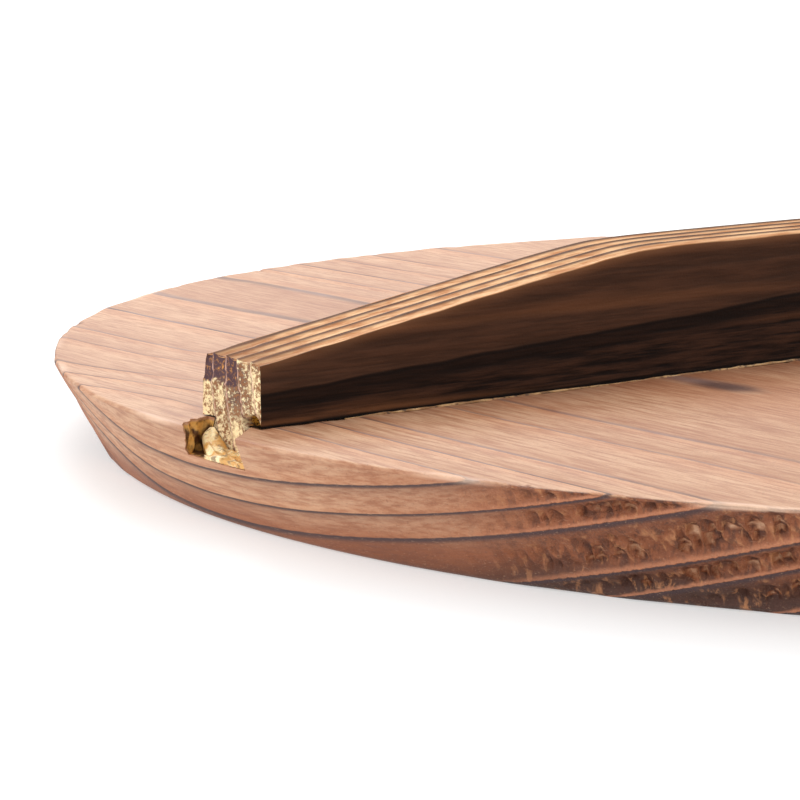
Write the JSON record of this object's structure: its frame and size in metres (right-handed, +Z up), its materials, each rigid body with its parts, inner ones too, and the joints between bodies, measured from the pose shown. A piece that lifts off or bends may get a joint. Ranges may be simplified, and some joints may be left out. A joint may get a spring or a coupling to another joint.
{
  "type": "wooden pan lid",
  "caption": "Round wooden lid with a bevelled edge and a bar handle on a glued sliding dovetail.",
  "frame": {"origin": "centre of the lid's underside", "axes": "+Z up through the lid, X along the bar handle with its broken-out socket end at -X, Y along the grain of the boards"},
  "size_m": [0.3599, 0.36, 0.0405],
  "materials": {
    "board_wood": "scorched and brushed softwood, matt",
    "handle_wood": "darker scorched softwood, matt",
    "bamboo": "plain bamboo",
    "glue": "dried wood glue, semi-gloss"
  },
  "bodies": {
    "root": {"board_left": "board_wood", "board_middle": "board_wood", "board_right": "board_wood", "handle_bar": "handle_wood", "dowel_left_1": "bamboo", "dowel_left_2": "bamboo", "dowel_left_3": "bamboo", "dowel_left_4": "bamboo", "dowel_right_1": "bamboo", "dowel_right_2": "bamboo", "dowel_right_3": "bamboo", "dowel_right_4": "bamboo", "glue_plug_left": "glue", "glue_plug_right": "glue", "glue_bead_front": "glue", "glue_bead_back": "glue"}
  },
  "joints": []
}
